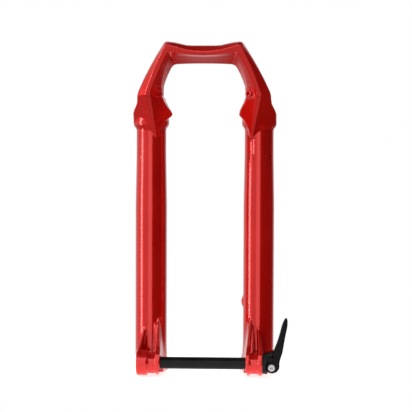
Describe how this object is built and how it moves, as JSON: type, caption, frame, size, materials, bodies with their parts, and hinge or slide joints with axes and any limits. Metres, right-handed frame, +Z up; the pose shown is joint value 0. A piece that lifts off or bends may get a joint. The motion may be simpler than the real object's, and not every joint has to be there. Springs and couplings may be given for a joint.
{
  "type": "bicycle suspension fork lower leg assembly",
  "caption": "Lower legs of a bicycle suspension fork: one-piece casting with arch, stanchion guides and seals, and a thru-axle with a folding cam lever.",
  "frame": {"origin": "middle of the wheel axle, halfway between the dropouts", "axes": "+Z up along the legs, -Y to the front of the bicycle, +X towards the lever and brake side"},
  "size_m": [0.1961, 0.0863, 0.4176],
  "materials": {
    "red_paint": "high gloss",
    "insert_alloy": "satin",
    "black_anodise": "black anodised, satin",
    "lever_black": "black, satin",
    "bright_steel": "turned",
    "plain_steel": "ground",
    "spring_steel": "drawn wire",
    "bearing_plastic": "matte",
    "bushing_bronze": "coated bearing surface",
    "foam": "oiled foam",
    "black_rubber": "matte"
  },
  "bodies": {
    "lowers": {"lower_casting": "red_paint", "thread_insert": "insert_alloy", "axle_sleeve": "bearing_plastic", "left_upper_bushing": "bushing_bronze", "left_lower_bushing": "bushing_bronze", "left_foam_ring": "foam", "left_wiper_seal": "black_rubber", "left_garter_spring": "spring_steel", "right_upper_bushing": "bushing_bronze", "right_lower_bushing": "bushing_bronze", "right_foam_ring": "foam", "right_wiper_seal": "black_rubber", "right_garter_spring": "spring_steel"},
    "washer": {"thrust_washer": "bearing_plastic"},
    "seal_ring": {"axle_o_ring": "black_rubber"},
    "axle": {"axle_tube": "black_anodise", "lever_cup": "black_anodise", "cam_pin": "bright_steel", "rod_guide": "bearing_plastic", "return_spring": "spring_steel"},
    "lock_rod": {"push_rod": "plain_steel", "expander_cone": "plain_steel", "cam_follower": "plain_steel"},
    "lever": {"cam_lever": "lever_black"}
  },
  "joints": [
    {"name": "axle_withdraw", "type": "slide", "parent": "lowers", "child": "washer", "axis": [1, 0, 0], "range_m": [0, 0.14]},
    {"name": "axle_feed", "type": "slide", "parent": "washer", "child": "seal_ring", "axis": [1, 0, 0], "range_m": [0, 0.009]},
    {"name": "axle_turn", "type": "hinge", "parent": "seal_ring", "child": "axle", "pos_m": [0, 0, 0], "axis": [1, 0, 0], "range_deg": [0, 2160]},
    {"name": "lever_fold", "type": "hinge", "parent": "axle", "child": "lever", "pos_m": [0.0857, 0, -0.0042], "axis": [0, 1, 0], "range_deg": [0, 100]},
    {"name": "lock_release", "type": "slide", "parent": "axle", "child": "lock_rod", "axis": [1, 0, 0], "range_m": [0, 0.0011]}
  ],
  "couplings": [
    {"joint": "axle_feed", "follows": "axle_turn", "m_per_rad": 0.00023873},
    {"joint": "lock_release", "follows": "lever_fold", "m_per_rad": 0.00063025}
  ]
}
